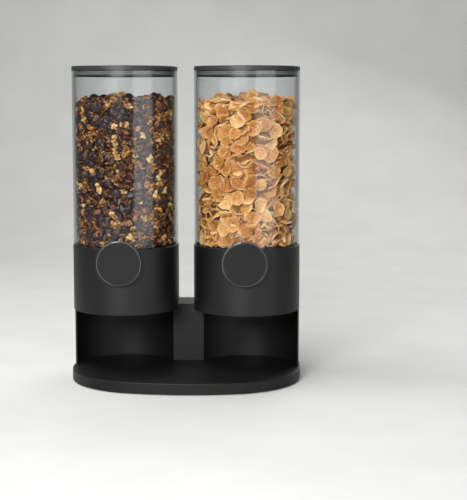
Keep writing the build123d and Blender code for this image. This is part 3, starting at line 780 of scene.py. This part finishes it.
def heap_core(side, fill, name, material, seed):
    """A closed column of revolution, pushed about by noise, with room for the rotor below."""
    room = ROOM[side]
    floor = room["floor"] + CORE_BOTTOM
    profile = core_profile(floor, fill - CORE_TOP)
    points = []
    for radius, height in profile:
        lumpy = radius > HOLLOW_RADIUS or height > floor + SMOOTH_BELOW
        for turn in np.arange(CORE_SPOKES) * 2 * math.pi / CORE_SPOKES:
            rise = noise.noise(Vector((math.cos(turn) * LUMPS_ROUND, math.sin(turn) * LUMPS_ROUND,
                                       height * LUMPS_PER_METRE + seed)))
            push = LUMP * rise if lumpy else 0
            points.append((room["x"] + (radius + push) * math.cos(turn),
                           room["y"] + (radius + push) * math.sin(turn), height))
    faces = []
    for ring in range(len(profile) - 1):
        for spoke in range(CORE_SPOKES):
            a = ring * CORE_SPOKES + spoke
            b = ring * CORE_SPOKES + (spoke + 1) % CORE_SPOKES
            faces.append((a, b, b + CORE_SPOKES, a + CORE_SPOKES))
    faces.append(tuple(reversed(range(CORE_SPOKES))))
    faces.append(tuple(range((len(profile) - 1) * CORE_SPOKES, len(profile) * CORE_SPOKES)))
    heap = Heap()
    heap.add(np.array(points), faces, np.full(len(points), CORE_RIM), CORE_PAINTED_SHADE_TONE)
    return heap.build(name, material, side + "_container")


print("rings of a heap's middle:", len(core_profile(0.0, 0.1)))

# %% [markdown]
# ## Pouring
# Both containers are filled to about 344 mm above the table, with a mound of 5 or 6 mm. A layer
# is its depth inside the wall, the least distance between its pieces, and the share of them that
# face the wall. Flakes are large, so three layers with 11 to 13 mm between pieces close the view.
# Granola is small and needs 6 to 9 mm. The shares of oats, clusters, puffs and chocolate are by
# number. A random generator with a fixed start for each container gives the same heap every time.

# %% Fill the right container with flakes
FLAKES_FILL = 343 * MM
flake_draw = np.random.default_rng(11)
flake_kinds = [flake_shape(flake_draw) for _ in range(16)]


def any_flake(draw):
    return "corn_flakes", flake_kinds[draw.integers(len(flake_kinds))]


FLAKE_LAYERS = ((0.0, 12.6 * MM, 0.5), (4 * MM, 10.6 * MM, 0.35), (9 * MM, 12 * MM, 0.5))
fill_container("right", flake_draw, any_flake, FLAKE_LAYERS, FLAKES_FILL, mound=6 * MM,
               top_spacing=13 * MM, groups={"corn_flakes": (8, FLAKE)}, seed=3.0)
heap_core("right", FLAKES_FILL, "right_flakes_middle", FLAKE_PAINTED_SHADE, 5.0)

# %% Fill the left container with granola
GRANOLA_FILL = 344 * MM
oat_draw = np.random.default_rng(23)
GRANOLA = {
    "oats": ([oat_shape(oat_draw) for _ in range(14)], 0.44),
    "clusters": ([cluster_shape(oat_draw) for _ in range(12)], 0.30),
    "puffs": ([puff_shape(oat_draw) for _ in range(8)], 0.08),
    "chocolate": ([chocolate_shape(oat_draw) for _ in range(12)], 0.18),
}


def any_granola(draw):
    kind = draw.choice(list(GRANOLA), p=[share for _, share in GRANOLA.values()])
    kinds = GRANOLA[kind][0]
    return str(kind), kinds[draw.integers(len(kinds))]


GRANOLA_LAYERS = ((0.0, 6.2 * MM, 0.6), (3.5 * MM, 6.2 * MM, 0.5), (8 * MM, 8.5 * MM, 0.5))
fill_container("left", oat_draw, any_granola, GRANOLA_LAYERS, GRANOLA_FILL, mound=5 * MM,
               top_spacing=8 * MM, seed=9.0,
               groups={"oats": (6, OAT), "clusters": (4, CLUSTER), "puffs": (2, PUFF),
                       "chocolate": (4, CHOCOLATE)})
heap_core("left", GRANOLA_FILL, "left_granola_middle", OAT_PAINTED_SHADE, 15.0)

# %% [markdown]
# ## The studio
# A plain pale floor sweeps up into a backdrop. Black plastic shows its shape only by what it
# mirrors, so the lamps are large and plain: one in front draws the soft light down the middle of
# each housing, a wide low one on the right draws the milky band on the clear plastic, and the
# ones above and on the left mark the lids and the knobs' chamfers. A weak one behind shows the
# back, and the last one is aimed at the floor and the backdrop. The room itself gives very
# little light, so that black stays black, but it looks paler where no backdrop stands. One small
# lamp would be simpler, and would leave only a few hard dots on the black parts.

# %% Floor and backdrop
FLOOR_FRONT, FLOOR_BACK, HALF_WIDTH = -3.0, 1.2, 4.0
SWEEP_RADIUS, SWEEP_STEPS, WALL_TOP = 0.8, 12, 4.0


def pale_paper():
    made, tree, out = start_material("pale_paper")
    place = add_node(tree, "ShaderNodeTexCoord")
    fibres = add_node(tree, "ShaderNodeTexNoise", {"Scale": 9.0, "Detail": 5.0},
                      {"Vector": (place, "Object")})
    tint = add_node(tree, "ShaderNodeValToRGB", joins={"Fac": (fibres, "Fac")},
                    stops=[(0.3, "#C3C3C1"), (0.7, "#C9C9C7")])
    shader = add_node(tree, "ShaderNodeBsdfPrincipled", {"Roughness": 0.85},
                      {"Base Color": (tint, "Color")})
    tree.links.new(shader.outputs[0], out.inputs["Surface"])
    return made


def studio_sweep():
    """A floor, a quarter-round and a wall, from one profile of (y, z) pairs."""
    profile = [(FLOOR_FRONT, 0.0), (FLOOR_BACK, 0.0)]
    for step in range(1, SWEEP_STEPS + 1):
        angle = math.radians(90 * step / SWEEP_STEPS)
        profile.append((FLOOR_BACK + SWEEP_RADIUS * math.sin(angle),
                        SWEEP_RADIUS - SWEEP_RADIUS * math.cos(angle)))
    profile.append((FLOOR_BACK + SWEEP_RADIUS, WALL_TOP))
    points = [(x, y, z) for y, z in profile for x in (-HALF_WIDTH, HALF_WIDTH)]
    faces = [(2 * i, 2 * i + 1, 2 * i + 3, 2 * i + 2) for i in range(len(profile) - 1)]
    mesh = bpy.data.meshes.new("floor_sweep")
    mesh.from_pydata(points, [], faces)
    mesh.shade_smooth()
    mesh.materials.append(pale_paper())
    floor = bpy.data.objects.new("floor_sweep", mesh)
    bpy.context.scene.collection.objects.link(floor)
    return floor


print("floor and backdrop:", len(studio_sweep().data.polygons), "faces")


# %% Lamps
def softbox(name, place, aim, width, height, watts):
    """A rectangular lamp that looks at a point, and that the camera doesn't see."""
    lamp = bpy.data.lights.new(name, "AREA")
    lamp.shape = "RECTANGLE"
    lamp.size, lamp.size_y, lamp.energy = width, height, watts
    holder = bpy.data.objects.new(name, lamp)
    holder.location = place
    holder.rotation_euler = (Vector(aim) - Vector(place)).to_track_quat("-Z", "Y").to_euler()
    holder.visible_camera = False
    bpy.context.scene.collection.objects.link(holder)
    return holder


MIDDLE = (0.0, 0.0, 0.2)
LAMPS = [
    softbox("front_key", (-0.30, -1.6, 0.68), MIDDLE, 0.8, 0.40, 29),
    softbox("top_key", (-0.42, -0.30, 1.45), (0.0, -0.1, 0.2), 1.4, 0.4, 20),
    softbox("right_softbox", (1.1, -1.1, 0.22), MIDDLE, 1.28, 0.5, 4.8),
    softbox("left_rim_light", (-1.15, -0.22, 0.9), MIDDLE, 0.3, 0.9, 1.3),
    softbox("back_fill", (0.6, 1.5, 1.0), MIDDLE, 0.9, 0.5, 8),
    softbox("overhead", (0.0, 1.3, 1.9), (0.0, 1.1, 0.0), 2.6, 1.2, 14),
]
print("lamps:", len(LAMPS), "with", round(sum(lamp.data.energy for lamp in LAMPS)), "W together")

# %% The light of the room
ROOM_LIGHT, ROOM_AS_SEEN = 0.09, 0.25

world = bpy.data.worlds.new("soft_room")
world.use_nodes = True
room_light = world.node_tree.nodes["Background"]
seen = add_node(world.node_tree, "ShaderNodeLightPath")
strength = add_node(world.node_tree, "ShaderNodeMapRange",
                    {"To Min": ROOM_LIGHT, "To Max": ROOM_AS_SEEN},
                    {"Value": (seen, "Is Camera Ray")})
room_light.inputs["Color"].default_value = linear("#DADCDE")
world.node_tree.links.new(strength.outputs["Result"], room_light.inputs["Strength"])
bpy.context.scene.world = world
bpy.context.scene.view_settings.view_transform = "Standard"
print("room light:", ROOM_LIGHT)

# %% [markdown]
# ## The camera
# The object is seen from the front at about the height of its lids. A long lens, from 1.6 m away,
# gives almost no perspective and keeps the two round containers alike, where a short lens from
# close by would lean them apart. The camera looks a little to the object's right, so that the
# object stands left of the middle.

# %% Camera
def look(azimuth, elevation, distance, target, lens_mm):
    """Puts the camera at a distance from its target, turned and raised by these degrees."""
    camera = bpy.data.cameras.new("camera")
    camera.sensor_fit = "HORIZONTAL"
    camera.sensor_width = 36.0
    camera.lens = lens_mm
    holder = bpy.data.objects.new("camera", camera)
    side, up = math.radians(azimuth), math.radians(elevation)
    forward = Vector((math.sin(side) * math.cos(up), math.cos(side) * math.cos(up), -math.sin(up)))
    holder.location = Vector(target) - forward * distance
    holder.rotation_euler = forward.to_track_quat("-Z", "Y").to_euler()
    bpy.context.scene.collection.objects.link(holder)
    bpy.context.scene.camera = holder
    return holder


eye = look(-2.394, 6.94, 1.6223, (0.0595, 0.0, 0.1621), 100.9)
print("camera at:", [round(v, 3) for v in eye.location])
